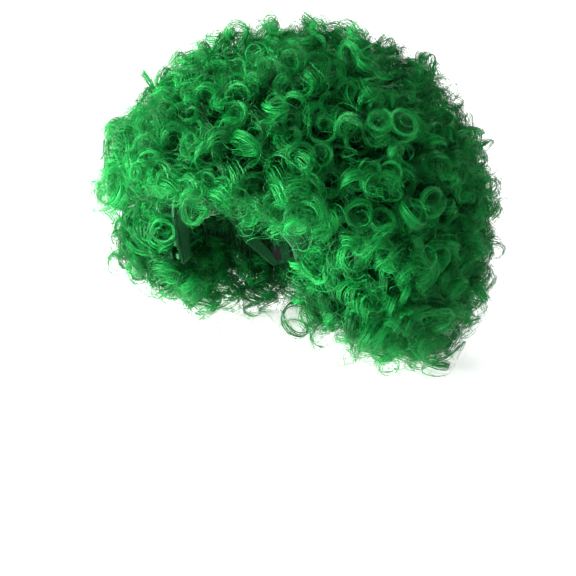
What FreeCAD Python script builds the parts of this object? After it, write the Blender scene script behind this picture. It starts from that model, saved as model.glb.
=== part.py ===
"""Curly costume wig on a stretch-net cap, with two size adjusters at the nape.

Millimetres. +Z is up, the wearer faces -Y, and the wearer's left is +X. The origin is the
centre of the head's cranium, so the cap is built from ellipsoid layers about the origin.
The layers, from the head outwards, are: tapes and bindings, the net, the weft tracks, the hair.
The wefts and the rows of curls run in rings about the crown axis, which leans backwards.
The nape band and the size adjusters turn about a vertical axis, the centre of the nape's curve.
"""
import FreeCAD, Part
import os
import Sketcher

# name of the size: (value, what it is)
SIZES = {
    "HeadHalfWidth": (78, "head half width, along X"),
    "HeadHalfLength": (98, "head half length, along Y"),
    "HeadHalfHeight": (100, "cranium height above its centre"),
    "TapeInside": (0, "tapes and bindings: gap to the head"),
    "TapeOutside": (1.2, "tapes and bindings: outer face"),
    "NetInside": (1.4, "net: inner face"),
    "NetOutside": (2.4, "net: outer face"),
    "WeftInside": (2.6, "weft tracks: inner face"),
    "WeftOutside": (5.0, "weft tracks: outer face"),
    "HairInside": (5.4, "hair: inner face"),
    "StayInside": (-1.3, "ear tab stays: inner face"),
    "StayOutside": (-0.3, "ear tab stays: outer face"),
    "HairHalfWidth": (158, "hair half width"),
    "HairHalfLength": (168, "hair half length"),
    "HairHalfHeight": (160, "hair half height, before its lower end is cut level"),
    "HairBack": (13, "how far the hair's centre lies behind the head's"),
    "HairDown": (10, "how far the hair's centre lies below the head's"),
    "NeckHalfWidth": (67, "space for the neck inside the hair, half width"),
    "NeckHalfLength": (83, "space for the neck inside the hair, half length"),
    "NeckDepth": (150, "space for the neck, downwards"),
    "CrownTilt": (32, "lean of the crown axis, degrees"),
    "HemAngle": (96, "lowest boundary of the rows, degrees from the crown"),
    "RowPitch": (7.3333, "one row of curls, degrees about the head's centre"),
    "CurlSpread": (1.2, "how much wider a row is at the hair's surface, as angles"),
    "RowGap": (0.1, "half the gap between rows, degrees"),
    "RootReach": (84, "distance at which a row boundary has its root angle"),
    "TipReach": (165, "distance at which a row boundary has its tip angle"),
    "FirstWeft": (93, "lowest weft, degrees from the crown"),
    "WeftHalfAngle": (1.25, "half the width of a weft track, degrees"),
    "PatchAngle": (13, "crown patch, degrees from the crown"),
    "Beyond": (230, "reach of cutting shapes, past every piece"),
    "NapeAxisY": (26.7, "centre of the nape's curve"),
    "NapeRadius": (57, "inner face of the nape band at its middle height"),
    "NapeLevel": (-52, "height at which the nape radii hold"),
    "NapeSlope": (0.566, "how much the nape's radius grows per unit of height"),
    "BandLow": (-61.5, "nape band: lower edge"),
    "BandHigh": (-43, "nape band: upper edge"),
    "BandEnd": (66, "nape band: half span, degrees"),
    "StrapLow": (-58, "adjuster strap: lower edge"),
    "StrapHigh": (-47, "adjuster strap: upper edge"),
    "StrapInside": (53.9, "adjuster strap and hook tab: inner radius"),
    "StrapOutside": (54.9, "adjuster strap and hook tab: outer radius"),
    "StrapTail": (69, "adjuster strap: tail end, degrees"),
    "FoldAngle": (36, "fold between strap and hook tab, degrees"),
    "FoldRadius": (0.55, "rolled edge of the strap at the fold"),
    "FoldGap": (1.3, "gap from the fold's axis to the hook tab, degrees"),
    "TabTip": (16, "hook tab: free end, degrees"),
    "HookInset": (1.5, "hook tape: margin on the hook tab, degrees"),
    "HookOutside": (55.7, "hook tape: outer radius"),
    "HookMargin": (1, "hook tape: margin at the hook tab's edges"),
    "LoopInside": (56.0, "loop tape: inner radius"),
    "LoopOutside": (56.95, "loop tape: outer radius"),
    "LoopStart": (1, "loop tape: end at the middle of the nape, degrees"),
    "LoopEnd": (44, "loop tape: outer end, degrees"),
    "SleeveInside": (52.6, "strap sleeve: inner radius"),
    "SleeveStart": (54, "strap sleeve: inner end, degrees"),
    "SleeveEnd": (62, "strap sleeve: outer end, degrees"),
    "SleeveWall": (2, "strap sleeve: wall above and below the strap"),
    "SleeveClearance": (0.3, "strap sleeve: clearance round the strap"),
    "LabelHalfWidth": (16, "label half width"),
    "LabelLow": (-38, "label: lower edge"),
    "LabelHigh": (-22, "label: upper edge"),
    "LabelInside": (0.2, "label: inner face"),
    "LabelOutside": (0.9, "label: outer face"),
    "StayFront": (-48, "ear tab stay: front edge"),
    "StayWidth": (5, "ear tab stay: width"),
    "StayLow": (-33, "ear tab stay: lower end"),
    "StayLength": (36, "ear tab stay: length"),
    "TabWeftFront": (-56, "ear tab wefts: front end"),
    "TabWeftLength": (20, "ear tab wefts: length"),
    "TabWeftLow": (-34, "ear tab wefts: lowest one"),
    "TabWeftPitch": (10, "ear tab wefts: spacing"),
    "TabWeftHeight": (4, "ear tab wefts: height"),
    "TabCurlsFront": (-95, "ear tab curls: front limit"),
    "TabCurlsBack": (-24, "ear tab curls: rear limit"),
    "TabCurlsInner": (30, "ear tab curls: limit towards the face"),
    "TabCurlsTop": (6, "ear tab curls: upper limit"),
    "TabCurlsGap": (0.3, "gap between the pieces of the lowest curls"),
    "FrontCurlsEnd": (-60, "lowest row: rear end of its front piece"),
    "NapeCurlsStart": (62, "lowest row: front end of its nape piece"),
}

ROWS = 12
TAB_WEFTS = 3

# Outlines in the side view, as points (Y, Z).
CAP_HEM = [(-130, 45), (-86, 45), (-75, 25), (-63, 3), (-55, -38), (-37, -38), (-30, -14), (-18, -6),
           (5, -6), (18, -18), (27, -36), (45, -62), (130, -62), (130, 130), (-130, 130)]
FRONT_TAPE = [(-130, 45), (-86, 45), (-75, 25), (-63, 3), (-47, 9.6), (-60, 34), (-72, 62), (-130, 62)]
EAR_TAB = [(-62.8, 2.2), (-55, -38), (-37, -38), (-30.4, -14), (-35, 13.7)]
SIDE_BINDING = [(-30, -13.9), (-18, -6), (5, -6), (18, -18), (27, -36), (45, -62), (48, -62), (48, -52),
                (36, -32), (26, -12), (9, 3), (-20, 3), (-30, -2)]
FACE_OPENING = [(-230, 27), (-104, 27), (-84, 14), (-66, -6), (-60, -56), (-38, -80), (-22, -100),
                (30, -118), (230, -122), (230, -230), (-230, -230)]

doc = FreeCAD.newDocument("CostumeWig")
nodes = []


def size_sheet():
    """The spreadsheet of driving sizes, one row for each."""
    sheet = doc.addObject("Spreadsheet::Sheet", "Sizes")
    for row, (alias, (value, meaning)) in enumerate(SIZES.items(), start=1):
        sheet.set(f"A{row}", str(value))
        sheet.setAlias(f"A{row}", alias)
        sheet.set(f"B{row}", meaning)
    doc.recompute()


def bind(made, **expressions):
    """Bind properties of a feature to expressions."""
    for name, expression in expressions.items():
        made.setExpression(name, expression)
    return made


def size(alias):
    """The expression that reads one size from the sheet."""
    return f"Sizes.{alias}"


def feature(kind, name, **expressions):
    """A feature of the document with some of its properties bound."""
    return bind(doc.addObject(kind, name), **expressions)


def node(name, made):
    """Make a feature one of the wig's pieces: its label is the name of the piece."""
    made.Label = name
    nodes.append(made)
    return made


def boolean(kind, name, base, tool):
    """A Cut or Fuse of two features."""
    made = doc.addObject(f"Part::{kind}", name)
    made.Base = base
    made.Tool = tool
    return made


def common(name, *shapes):
    """What several features share."""
    made = doc.addObject("Part::MultiCommon", name)
    made.Shapes = list(shapes)
    return made


def mirrored(name, source):
    """The same piece on the wearer's right."""
    made = doc.addObject("Part::Mirroring", name)
    made.Source = source
    made.Normal = (1, 0, 0)
    return made


def polygon(name, points):
    """A closed sketch through points whose coordinates are expressions."""
    sketch = doc.addObject("Sketcher::SketchObject", name)
    count = len(points)
    # Rough starting places on a circle: the bound constraints move them to the real ones.
    starts = [FreeCAD.Vector(100, 0, 0)]
    turn = FreeCAD.Rotation(FreeCAD.Vector(0, 0, 1), 360 / count)
    for _ in range(count - 1):
        starts.append(turn.multVec(starts[-1]))
    for index in range(count):
        line = Part.LineSegment(starts[index], starts[(index + 1) % count])
        sketch.addGeometry(line, False)
    for index in range(count):
        sketch.addConstraint(Sketcher.Constraint("Coincident", index, 2, (index + 1) % count, 1))
    for index, (across, up) in enumerate(points):
        start = starts[index]
        for kind, expression, value in (("DistanceX", across, start.x), ("DistanceY", up, start.y)):
            number = sketch.addConstraint(Sketcher.Constraint(kind, -1, 1, index, 1, value))
            sketch.setExpression(f"Constraints[{number}]", expression)
    return sketch


def head_ellipsoid(name, offset):
    """The head's ellipsoid grown by one of the layer sizes."""
    return feature("Part::Ellipsoid", name,
                   Radius1=f"{size('HeadHalfHeight')} + {size(offset)}",
                   Radius2=f"{size('HeadHalfWidth')} + {size(offset)}",
                   Radius3=f"{size('HeadHalfLength')} + {size(offset)}",
                   Angle1="-90", Angle2="90", Angle3="360")


def layer(name, inside, outside):
    """The shell between two sizes of the head's ellipsoid."""
    outer = head_ellipsoid(f"{name}_outer", outside)
    inner = head_ellipsoid(f"{name}_inner", inside)
    return boolean("Cut", name, outer, inner)


def side_slab(name, outline):
    """A side view outline, extruded across the whole width of the wig."""
    sketch = polygon(f"{name}_outline", [(str(across), str(up)) for across, up in outline])
    sketch.Placement.Rotation = FreeCAD.Rotation(FreeCAD.Vector(1, 1, 1), 120)
    slab = feature("Part::Extrusion", name, LengthFwd=size("Beyond"), LengthRev=size("Beyond"))
    slab.Base = sketch
    slab.DirMode = "Custom"
    slab.Dir = (1, 0, 0)
    slab.Solid = True
    return slab


def box(name, corner, lengths):
    """A box from three expressions for its low corner and three for its lengths."""
    made = feature("Part::Box", name, Length=lengths[0], Width=lengths[1], Height=lengths[2])
    return bind(made, **{f".Placement.Base.{axis}": value for axis, value in zip("xyz", corner)})


def revolve(name, sketch, angle):
    """A sketch turned about the vertical axis through the origin."""
    made = feature("Part::Revolution", name, Angle=angle)
    made.Source = sketch
    made.Axis = (0, 0, 1)
    made.Solid = True
    return made


def crown_ring(name, points):
    """A ring about the crown axis, from points (away from the axis, along the axis)."""
    sketch = polygon(f"{name}_outline", points)
    sketch.Placement.Rotation = FreeCAD.Rotation(FreeCAD.Vector(1, 0, 0), 90)
    ring = revolve(f"{name}_upright", sketch, "360")
    tilted = doc.addObject("Part::Compound", name)
    tilted.Links = [ring]
    return bind(tilted, **{".Placement.Rotation.Axis.x": "1", ".Placement.Rotation.Axis.z": "0",
                           ".Placement.Rotation.Angle": f"-{size('CrownTilt')}"})


def polar(distance, angle):
    """A point (away from the axis, along the axis) at an angle from the crown, as expressions."""
    return f"({distance}) * sin(({angle}) * 1 deg)", f"({distance}) * cos(({angle}) * 1 deg)"


def weft_ring(name, number):
    """A thin wedge about the crown axis, as wide as a weft track."""
    middle = f"{size('FirstWeft')} - {number} * {size('RowPitch')}"
    low = f"{middle} + {size('WeftHalfAngle')}"
    high = f"{middle} - {size('WeftHalfAngle')}"
    near = f"{size('HeadHalfWidth')} * 0.8"
    far = f"{size('HeadHalfHeight')} * 1.3"
    return crown_ring(name, [polar(near, low), polar(far, low), polar(far, high), polar(near, high)])


def boundary(number, side):
    """The line between two rows of curls: its inner and outer end, as expressions.

    The line runs from the root angle at RootReach to the wider tip angle at TipReach, and is
    drawn longer at both ends. side is +1 for the row above the line and -1 for the row below.
    """
    shift = f"{side} * {size('RowGap')}"
    root_angle = f"{size('HemAngle')} - {number} * {size('RowPitch')}"
    root = polar(size("RootReach"), f"{root_angle} - {shift}")
    tip = polar(size("TipReach"), f"({root_angle}) * {size('CurlSpread')} - {shift} * 0.6")
    inner_end = tuple(f"({a}) - 0.3 * (({b}) - ({a}))" for a, b in zip(root, tip))
    outer_end = tuple(f"({b}) + 0.45 * (({b}) - ({a}))" for a, b in zip(root, tip))
    return inner_end, outer_end


def curl_ring(name, number):
    """The space of one row of curls; row 0 reaches down past the hem."""
    top_inner, top_outer = boundary(number + 1, -1)
    if number == 0:
        far = size("Beyond")
        floor = [("0", f"-{far}"), (far, f"-{far}"), (far, top_outer[1])]
        return crown_ring(name, [("0", top_inner[1])] + floor + [top_outer, top_inner])
    low_inner, low_outer = boundary(number, 1)
    return crown_ring(name, [low_inner, low_outer, top_outer, top_inner])


def crown_cone(name):
    """The space of the crown curls, above the last row."""
    inner_end, outer_end = boundary(ROWS, 1)
    return crown_ring(name, [("0", inner_end[1]), inner_end, outer_end, ("0", size("Beyond"))])


def nape_strip(name, inside, outside, low, high, start, end):
    """A strip about the nape axis; radii hold at NapeLevel, and angles are from the rear centre."""
    corners = []
    for radius, level in ((inside, low), (outside, low), (outside, high), (inside, high)):
        across = f"{radius} + {size('NapeSlope')} * ({level} - {size('NapeLevel')})"
        corners.append((across, level))
    sketch = polygon(f"{name}_outline", corners)
    sketch.Placement.Rotation = FreeCAD.Rotation(FreeCAD.Vector(1, 0, 0), 90)
    ring = revolve(f"{name}_ring", sketch, f"({end}) - ({start})")
    placed = doc.addObject("Part::Compound", name)
    placed.Links = [ring]
    bind(placed, **{".Placement.Base.y": size("NapeAxisY"), ".Placement.Rotation.Angle": f"90 - ({end})"})
    return placed


def cap():
    """The net dome, the crown patch inside it, and the blank label at the back."""
    node("cap_net", common("cap_net", layer("net_layer", "NetInside", "NetOutside"), cap_zone))
    rim = polar("Sizes.Beyond", size("PatchAngle"))
    patch_cone = crown_ring("patch_cone", [("0", "0"), rim, ("0", rim[1])])
    node("crown_patch", common("crown_patch", tape_layer, patch_cone))
    label_height = f"{size('LabelHigh')} - {size('LabelLow')}"
    label_box = box("label_box", (f"-{size('LabelHalfWidth')}", "0", size("LabelLow")),
                    (f"2 * {size('LabelHalfWidth')}", size("Beyond"), label_height))
    node("label", common("label", layer("label_layer", "LabelInside", "LabelOutside"), label_box))


def bindings():
    """The front tape, and on each side the binding from the ear tab to the nape band."""
    front_zone = side_slab("front_zone", FRONT_TAPE)
    node("front_hairline_tape", common("front_hairline_tape", tape_layer, front_zone))
    zone = side_slab("binding_zone", SIDE_BINDING)
    left = node("side_binding_left", common("side_binding_left", tape_layer, zone, left_half))
    node("side_binding_right", mirrored("side_binding_right", left))


def ear_tabs():
    """The padded tabs in front of the ears, their bendable stays and their short wefts."""
    zone = side_slab("ear_tab_zone", EAR_TAB)
    tab = node("ear_tab_left", common("ear_tab_left", tape_layer, zone, left_half))
    node("ear_tab_right", mirrored("ear_tab_right", tab))
    stay_box = box("stay_box", ("0", size("StayFront"), size("StayLow")),
                   (size("Beyond"), size("StayWidth"), size("StayLength")))
    stay = node("ear_tab_stay_left",
                common("ear_tab_stay_left", layer("stay_layer", "StayInside", "StayOutside"), stay_box))
    node("ear_tab_stay_right", mirrored("ear_tab_stay_right", stay))
    strips = []
    for number in range(TAB_WEFTS):
        level = f"{size('TabWeftLow')} + {number} * {size('TabWeftPitch')}"
        strips.append(box(f"tab_weft_box_{number + 1}", ("0", size("TabWeftFront"), level),
                          (size("Beyond"), size("TabWeftLength"), size("TabWeftHeight"))))
    rows = doc.addObject("Part::Compound", "tab_weft_boxes")
    rows.Links = strips
    wefts = node("ear_tab_wefts_left", common("ear_tab_wefts_left", weft_layer, rows))
    node("ear_tab_wefts_right", mirrored("ear_tab_wefts_right", wefts))


def weft_tracks():
    """The stitched tracks that hold the fibres, in rings from the hem to the crown."""
    for number in range(ROWS):
        name = f"weft_track_{number + 1:02d}"
        node(name, common(name, weft_layer, weft_ring(f"weft_ring_{number + 1:02d}", number), cap_zone))


def hair():
    """The body of curls: one piece for each row, the crown and the two ear tabs."""
    outside = feature("Part::Ellipsoid", "hair_outside", Radius1=size("HairHalfHeight"),
                      Radius2=size("HairHalfWidth"), Radius3=size("HairHalfLength"),
                      Angle1="-90", Angle2="90", Angle3="360")
    bind(outside, **{".Placement.Base.y": size("HairBack"), ".Placement.Base.z": f"-{size('HairDown')}"})
    neck_rim = feature("Part::Ellipse", "neck_rim", MajorRadius=size("NeckHalfLength"),
                       MinorRadius=size("NeckHalfWidth"))
    neck_rim.Placement.Rotation = FreeCAD.Rotation(FreeCAD.Vector(0, 0, 1), 90)
    neck_rim.setExpression(".Placement.Base.z", f"-{size('NeckDepth')}")
    neck = feature("Part::Extrusion", "neck_space", LengthFwd=size("NeckDepth"))
    neck.Base = neck_rim
    neck.DirMode = "Custom"
    neck.Dir = (0, 0, 1)
    neck.Solid = True
    head_and_neck = boolean("Fuse", "head_and_neck", head_ellipsoid("hair_inside", "HairInside"), neck)
    hollow = boolean("Cut", "hair_hollow", outside, head_and_neck)
    body = boolean("Cut", "hair_body", hollow, side_slab("face_opening", FACE_OPENING))
    for number in range(1, ROWS):
        name = f"curls_row_{number + 1:02d}"
        node(name, common(name, body, curl_ring(f"curl_ring_{number + 1:02d}", number)))
    node("crown_curls", common("crown_curls", body, crown_cone("crown_cone")))

    first = common("first_row_whole", body, curl_ring("curl_ring_01", 0))
    far = size("Beyond")
    gap = size("TabCurlsGap")
    inner = size("TabCurlsInner")
    front = size("TabCurlsFront")
    depth = f"{size('TabCurlsBack')} - {front}"
    height = f"{far} + {size('TabCurlsTop')}"
    tab_box = box("tab_curls_box", (inner, front, f"-{far}"), (far, depth, height))
    clear_box = box("tab_curls_clear", (f"{inner} - {gap}", f"{front} - {gap}", f"-{far}"),
                    (f"{far} + 2 * {gap}", f"{depth} + 2 * {gap}", f"{height} + {gap}"))
    left = node("ear_tab_curls_left", common("ear_tab_curls_left", first, tab_box))
    node("ear_tab_curls_right", mirrored("ear_tab_curls_right", left))
    less_left = boolean("Cut", "first_row_less_left", first, clear_box)
    rest = boolean("Cut", "first_row", less_left, mirrored("tab_curls_clear_right", clear_box))
    first_row(rest)


def first_row(rest):
    """The lowest row, in four pieces: over the forehead, down each side and at the nape."""
    far = size("Beyond")
    front = size("FrontCurlsEnd")
    nape_start = size("NapeCurlsStart")
    gap = size("TabCurlsGap")
    front_box = box("front_curls_box", (f"-{far}", f"-{far}", f"-{far}"),
                    (f"2 * {far}", f"{far} + {front}", f"2 * {far}"))
    nape_box = box("nape_curls_box", (f"-{far}", nape_start, f"-{far}"),
                   (f"2 * {far}", f"{far} - {nape_start}", f"2 * {far}"))
    side_box = box("side_curls_box", ("0", f"{front} + {gap}", f"-{far}"),
                   (far, f"{nape_start} - {front} - 2 * {gap}", f"2 * {far}"))
    node("curls_row_01_front", common("curls_row_01_front", rest, front_box))
    node("curls_row_01_nape", common("curls_row_01_nape", rest, nape_box))
    left = node("curls_row_01_left", common("curls_row_01_left", rest, side_box))
    node("curls_row_01_right", mirrored("curls_row_01_right", left))


def nape():
    """The nape band and, on each side, the sleeve, the strap, the hook tab and both tapes."""
    band_ring = nape_strip("band_ring", size("NapeRadius"), f"{size('NapeRadius')} + 20", size("BandLow"),
                           size("BandHigh"), f"-{size('BandEnd')}", size("BandEnd"))
    node("nape_band", common("nape_band", band_ring, head_ellipsoid("band_outside", "TapeOutside")))

    strap_low = size("StrapLow")
    strap_high = size("StrapHigh")
    margin = size("HookMargin")
    strap_inside = size("StrapInside")
    strap_outside = size("StrapOutside")
    fold = size("FoldAngle")
    tab_root = f"{fold} - {size('FoldGap')}"
    loop = nape_strip("loop_tape_left", size("LoopInside"), size("LoopOutside"), f"{strap_low} - {margin}",
                      f"{strap_high} + {margin}", size("LoopStart"), size("LoopEnd"))
    strip = nape_strip("strap_strip", strap_inside, strap_outside, strap_low, strap_high,
                       fold, size("StrapTail"))
    strap = boolean("Fuse", "adjuster_strap_left", strip, fold_roll())
    tab = nape_strip("hook_tab_left", strap_inside, strap_outside, strap_low, strap_high,
                     size("TabTip"), tab_root)
    inset = size("HookInset")
    hook = nape_strip("hook_tape_left", strap_outside, size("HookOutside"), f"{strap_low} + {margin}",
                      f"{strap_high} - {margin}", f"{size('TabTip')} + {inset}", f"{tab_root} - {inset}")
    for name, made in (("loop_tape", loop), ("adjuster_strap", strap), ("hook_tab", tab), ("hook_tape", hook),
                       ("strap_sleeve", sleeve())):
        node(f"{name}_left", made)
        node(f"{name}_right", mirrored(f"{name}_right", made))


def fold_roll():
    """The rolled edge of the strap that the hook tab folds about, along the nape's slope."""
    middle = f"({size('StrapInside')} + {size('StrapOutside')}) / 2"
    drop = f"({size('StrapLow')} - {size('NapeLevel')})"
    reach = f"({middle} + {size('NapeSlope')} * {drop})"
    length = f"({size('StrapHigh')} - {size('StrapLow')}) * sqrt(1 + {size('NapeSlope')} ^ 2)"
    roll = feature("Part::Cylinder", "fold_roll", Radius=size("FoldRadius"), Height=length)
    # The roll leans outwards, then it is turned about the nape axis to the fold's angle.
    bind(roll, **{".Placement.Base.x": reach, ".Placement.Base.z": size("StrapLow"),
                  ".Placement.Rotation.Axis.x": "0", ".Placement.Rotation.Axis.y": "1",
                  ".Placement.Rotation.Axis.z": "0",
                  ".Placement.Rotation.Angle": f"atan({size('NapeSlope')})"})
    placed = doc.addObject("Part::Compound", "fold_roll_placed")
    placed.Links = [roll]
    bind(placed, **{".Placement.Base.y": size("NapeAxisY"),
                    ".Placement.Rotation.Angle": f"90 - {size('FoldAngle')}"})
    return placed


def sleeve():
    """The sewn sleeve that the strap slides in."""
    clearance = size("SleeveClearance")
    wall = size("SleeveWall")
    low = size("StrapLow")
    high = size("StrapHigh")
    block = nape_strip("sleeve_block", size("SleeveInside"), size("LoopOutside"), f"{low} - {wall}",
                       f"{high} + {wall}", size("SleeveStart"), size("SleeveEnd"))
    channel = nape_strip("sleeve_channel", f"{size('StrapInside')} - {clearance}",
                         f"{size('StrapOutside')} + {clearance}",
                         f"{low} - {clearance}", f"{high} + {clearance}",
                         f"{size('SleeveStart')} - 1", f"{size('SleeveEnd')} + 1")
    return boolean("Cut", "strap_sleeve_left", block, channel)


def check_and_write():
    """Stop at any failed feature or bad shape, then write one file for each piece."""
    doc.recompute()
    for made in doc.Objects:
        if "Invalid" in made.State or "Error" in made.State:
            raise RuntimeError(f"{made.Name}: {made.State}")
    for made in nodes:
        shape = made.Shape
        if shape.isNull() or not shape.isValid() or not shape.Solids:
            raise RuntimeError(f"{made.Label}: no valid solid")
    os.makedirs("parts", exist_ok=True)
    total = 0
    for made in nodes:
        made.Shape.exportStep(f"parts/{made.Label}.step")
        total += made.Shape.Volume
        limits = made.Shape.BoundBox
        print(f"{made.Label:22s} volume {made.Shape.Volume / 1000:9.2f} cm3  "
              f"y {limits.YMin:7.1f} {limits.YMax:7.1f}  z {limits.ZMin:7.1f} {limits.ZMax:7.1f}")
    print(f"{len(nodes)} pieces, {total / 1e6:.3f} litres")


size_sheet()
cap_zone = side_slab("cap_zone", CAP_HEM)
tape_layer = layer("tape_layer", "TapeInside", "TapeOutside")
weft_layer = layer("weft_layer", "WeftInside", "WeftOutside")
left_half = box("left_half", ("0", f"-{size('Beyond')}", f"-{size('Beyond')}"),
                (size("Beyond"), f"2 * {size('Beyond')}", f"2 * {size('Beyond')}"))
cap()
bindings()
ear_tabs()
weft_tracks()
hair()
nape()
check_and_write()
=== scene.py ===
"""Curly costume wig: ringlets of fine fibre, rooted on the wefts of a stretch-net cap.

Everything is worked out in millimetres and scaled to metres where a mesh is made. Every ringlet
starts on a weft track of its row and ends near the skin of that row's CAD solid, so the CAD says
where the hair goes. A ringlet is a bundle of fibres wound on one helix. Each fibre is a closed tube.
"""
import math
import bmesh
import bpy
import numpy as np
from mathutils.geometry import delaunay_2d_cdt
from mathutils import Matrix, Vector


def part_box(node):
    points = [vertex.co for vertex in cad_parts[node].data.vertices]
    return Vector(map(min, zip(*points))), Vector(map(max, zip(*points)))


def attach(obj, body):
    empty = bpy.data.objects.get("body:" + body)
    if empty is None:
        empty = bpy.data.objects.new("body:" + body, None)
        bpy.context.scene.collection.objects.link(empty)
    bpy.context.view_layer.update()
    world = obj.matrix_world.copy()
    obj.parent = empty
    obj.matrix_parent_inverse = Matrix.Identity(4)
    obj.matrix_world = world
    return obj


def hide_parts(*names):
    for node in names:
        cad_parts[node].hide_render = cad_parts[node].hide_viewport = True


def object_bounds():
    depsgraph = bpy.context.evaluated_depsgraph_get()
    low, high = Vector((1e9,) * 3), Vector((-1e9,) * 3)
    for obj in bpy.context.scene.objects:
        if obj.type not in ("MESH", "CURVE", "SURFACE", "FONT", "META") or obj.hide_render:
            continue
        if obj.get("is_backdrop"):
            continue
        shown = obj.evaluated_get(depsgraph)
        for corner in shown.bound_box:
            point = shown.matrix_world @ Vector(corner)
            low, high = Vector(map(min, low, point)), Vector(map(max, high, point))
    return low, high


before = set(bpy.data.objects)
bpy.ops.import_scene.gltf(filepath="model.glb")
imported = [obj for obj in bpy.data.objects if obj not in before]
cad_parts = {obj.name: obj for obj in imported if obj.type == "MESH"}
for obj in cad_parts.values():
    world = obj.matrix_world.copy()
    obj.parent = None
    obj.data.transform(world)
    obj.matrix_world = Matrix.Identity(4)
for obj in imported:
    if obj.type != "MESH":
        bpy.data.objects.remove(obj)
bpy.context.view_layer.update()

MM = 0.001
rng = np.random.default_rng(20)

# Sizes that part.py has too, in millimetres, and in degrees where they are angles.
CROWN_TILT = math.radians(32)
FIRST_WEFT, ROW_PITCH, WEFT_ROWS = 93, 7.3333, 12
WEFT_OUTSIDE = 5.0
NET_OUTSIDE = 2.4
HAIR_CENTRE = np.array([0, 13, -10])
HAIR_INSIDE = 5.4
NECK = np.array([67.0, 83.0])
TAB_WEFT_ENDS, TAB_WEFT_LEVELS = (-56, -36), (-32, -22, -12)
NAPE_Y, NAPE_SLOPE, NAPE_LEVEL = 26.7, 0.566, -52
# Outlines in the side view, as (Y, Z) corners.
EAR_TAB = np.array([(-62.8, 2.2), (-55, -38), (-37, -38), (-30.4, -14), (-35, 13.7)])
STAY_POCKET = np.array([(-51.4, 6.4), (-51.4, -36.4), (-39.6, -36.4), (-39.6, 6.4)])
CAP_HEM = np.array([(-130, 45), (-86, 45), (-75, 25), (-63, 3), (-55, -38), (-37, -38), (-30, -14), (-18, -6),
                    (5, -6), (18, -18), (27, -36), (45, -62), (130, -62), (130, 130), (-130, 130)], float)
FACE_EDGE = np.array([(-230, 27), (-104, 27), (-84, 14), (-66, -6), (-60, -56), (-38, -80), (-22, -100),
                      (30, -118), (230, -122)], float)
BROW_CORNERS = 4  # how many corners of FACE_EDGE lie over the brow

HAIR_NODES = sorted(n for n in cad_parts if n.startswith(("curls_row", "crown_curls", "ear_tab_curls")))

# The kinds of skin, and how far off each a flat facet may lie: in mm at the edge, else as a share.
OUTER, EDGE, WALL = 0, 1, 2
OUTER_SLACK, EDGE_SLACK, HEAD_SLACK, NECK_SLACK = 0.01, 0.8, 0.015, 0.02

# Where the ringlets are planted, how wide they wind, and how they are shared out.
SKIN_SAMPLES = 4000
TRIES_PER_CURL = 14
CURL_SPACING, WALL_SPACING = 12.8, 14.5
CURL_RADIUS, CURL_RADIUS_SPREAD, CURL_RADIUS_RANGE = 9.6, 1.7, (6.5, 12.0)
LOOSE_SHARE, LOOSE_NARROWING = 0.58, 0.78
LINE_STEPS = 40
CURLS_PER_PIECE = 46
# Where the curls stand out more than elsewhere: a place, how far round it, and by how much.
BULGES = (((-114, -96, 5), 42, 5), ((128, 107, -50), 45, 4), ((100, 84, -105), 40, 4),
          ((-60, -60, 125), 35, 3))
# The directions and phases of the waves that make the outline uneven, and their height.
SWELLS = (((0.10, 0.04, 0.03), 1), ((0.02, 0.09, -0.06), 0), ((-0.05, 0.03, 0.11), 4))
SWELL_HEIGHT = 3.2
REST_LEVEL, FLOOR_GAP = -122.5, 0.3
FLOOR_BEND = 3
BROW_LEVEL = 5.0
BESIDE_FACE_LOW = -70.0
# Curls in front of each ear tab: how many, their levels, their distance from the head, and where they start.
FACE_CURLS, FACE_CURL_LEVELS, FACE_CURL_OUT = 40, (-44, 6), (6, 20)
FACE_CURL_FRONT, FACE_CURL_SLOPE = -70, 0.16

# Fibres, by half their thickness. A tube has three sides.
SIDES = 3
FINE, LOOP_FIBRE, RIBBON = 0.13, 0.17, 0.3
STRAYS_PER_CURL, LOOP_SHARE, LOWEST_LOOP = 3, 0.16, -85
NAPE_FIBRES = 5600

# Stitches and patches
STITCH, STITCH_STEP = 2.3, 3.3
STITCH_CELLS = 10  # to the millimetre
PATCH_CELL, PATCH_RIM = 1.3, 2.2
BROW_STITCHES = (([(-61.5, 5), (-73.2, 26.5), (-84, 47)], 47), ([(-49.5, 10), (-62, 34), (-73.5, 60)], 60))
BINDING_STITCHES = ([(-28, -11.5), (-18, -4), (6, -4), (19.5, -16.5), (28.5, -35), (44, -59)],
                    [(-28, -2.5), (-20, 1), (7, 1), (22, -13), (33, -32)])
DEGREES = 57.3  # in a radian, near enough for the jitter of the hooks
LABEL_WIDTH, LABEL_HEIGHT = 32.0, 16.0
LABEL_OFFSET, LABEL_LEVEL = 0.55, -30.0

# The photograph's viewing angle: azimuth, elevation and distance.
PHOTO_AZIMUTH, PHOTO_ELEVATION, PHOTO_DISTANCE = 40, 17, 1.5
PHOTO_LENS = 118.7
AIM_RIGHT, AIM_BELOW = 0.003, 0.056


def high_corner(node):
    return np.array(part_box(node)[1]) / MM


def unit(v):
    return v / np.maximum(np.linalg.norm(v, axis=-1, keepdims=True), 1e-9)


def new_object(name, data):
    thing = bpy.data.objects.new(name, data)
    bpy.context.scene.collection.objects.link(thing)
    return thing


def dress(piece, slot, *nodes, body="root"):
    """Attach a finished piece to the body it rides on, and hide the CAD nodes it stands for; slot is not
    used.
    """
    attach(piece, body)
    if nodes:
        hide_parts(*nodes)


# The head's half sizes, from the net's outer face, and the hair's outer ellipsoid, from the rows.
HEAD = high_corner("cap_net") - NET_OUTSIDE
HAIR_HALF = np.max([high_corner(name) for name in HAIR_NODES], axis=0) - HAIR_CENTRE

CROWN = np.array([0, math.sin(CROWN_TILT), math.cos(CROWN_TILT)])
ACROSS = np.array([1.0, 0, 0])
BEHIND = np.cross(CROWN, ACROSS)


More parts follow.
